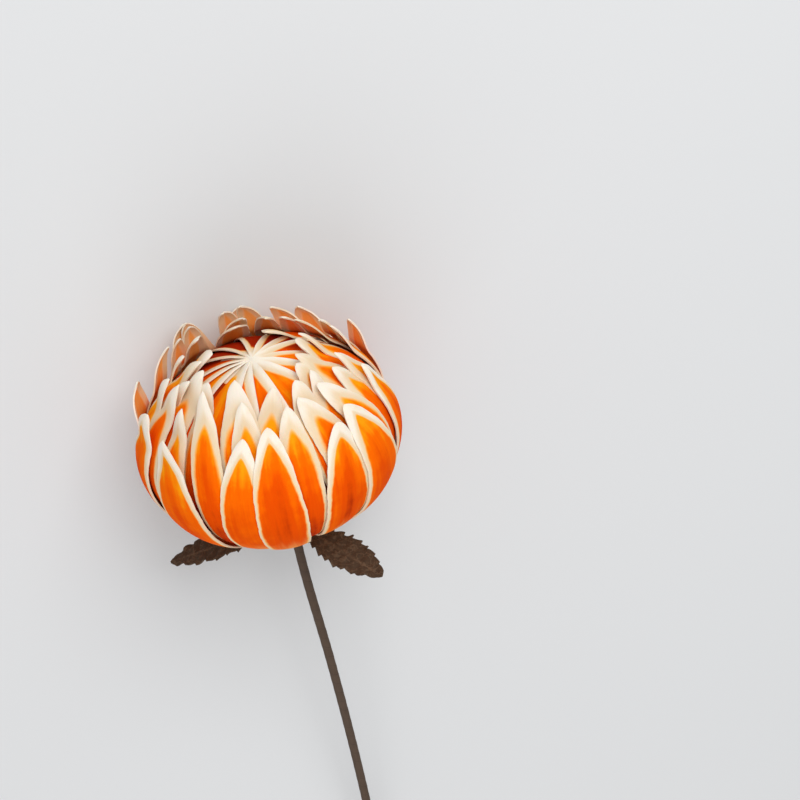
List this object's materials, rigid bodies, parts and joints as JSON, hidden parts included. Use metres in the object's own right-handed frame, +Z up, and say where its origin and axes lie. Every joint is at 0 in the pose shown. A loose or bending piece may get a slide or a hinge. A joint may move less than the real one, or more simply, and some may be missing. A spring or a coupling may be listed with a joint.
{
  "type": "artificial ball peony on a cut stem",
  "caption": "Artificial ball peony lying on its side: an oblate ball of pointed orange petals with cream margins, toothed brown leaves at its base and a thin cut stem.",
  "frame": {"origin": "middle of the flat spot that the head rests on, under the lowest petal, on the surface that the flower lies on", "axes": "+Z up, +Y along the flower from the cut end of the stem to the head, +X across it, to the right when the head points away"},
  "size_m": [0.0882, 0.2885, 0.0882],
  "materials": {
    "petal_sheet": "matte",
    "leaf_cloth": "matte",
    "stem_wrap": "matte"
  },
  "bodies": {
    "root": {"bloom": "petal_sheet", "calyx": "leaf_cloth", "stem": "stem_wrap"}
  },
  "joints": []
}
